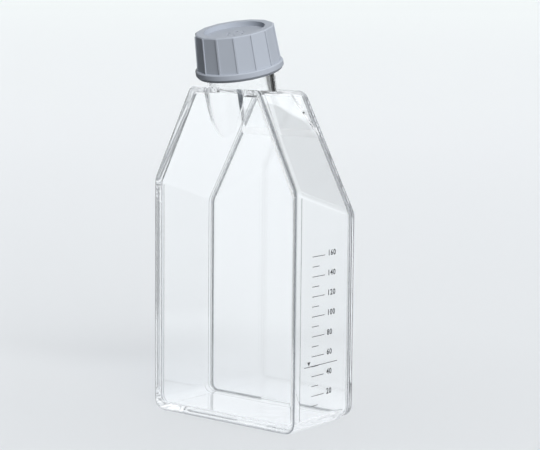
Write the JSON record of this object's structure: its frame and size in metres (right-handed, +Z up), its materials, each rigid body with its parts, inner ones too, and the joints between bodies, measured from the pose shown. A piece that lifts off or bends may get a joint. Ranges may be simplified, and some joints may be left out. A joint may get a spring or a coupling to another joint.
{
  "type": "cell culture flask",
  "caption": "Canted-neck culture flask of clear plastic with a welded growth plate, a graduated side wall and a vented screw cap.",
  "frame": {"origin": "middle of the foot's flat underside, on the table, in the middle of the body's width and depth", "axes": "+Z up along the standing flask, +Y from the front face to the growth plate, +X towards the graduated side wall"},
  "size_m": [0.075, 0.0469, 0.162],
  "materials": {
    "clear_wall": "clear polished polystyrene",
    "cap_plastic": "satin moulded polyethylene",
    "membrane": "matt white"
  },
  "bodies": {
    "flask": {"flask_body": "clear_wall", "growth_plate": "clear_wall"},
    "lift": {"vent_membrane": "membrane"},
    "cap": {"screw_cap": "cap_plastic"}
  },
  "joints": [
    {"name": "cap_turn", "type": "hinge", "parent": "lift", "child": "cap", "pos_m": [0, -0.0072, 0.13446], "axis": [0, -0.225, 0.9744], "range_deg": [0, 1440]},
    {"name": "cap_lift", "type": "slide", "parent": "flask", "child": "lift", "axis": [0, -0.225, 0.9744], "range_m": [0, 0.016]}
  ],
  "couplings": [
    {"joint": "cap_lift", "follows": "cap_turn", "m_per_rad": 0.00063662}
  ]
}
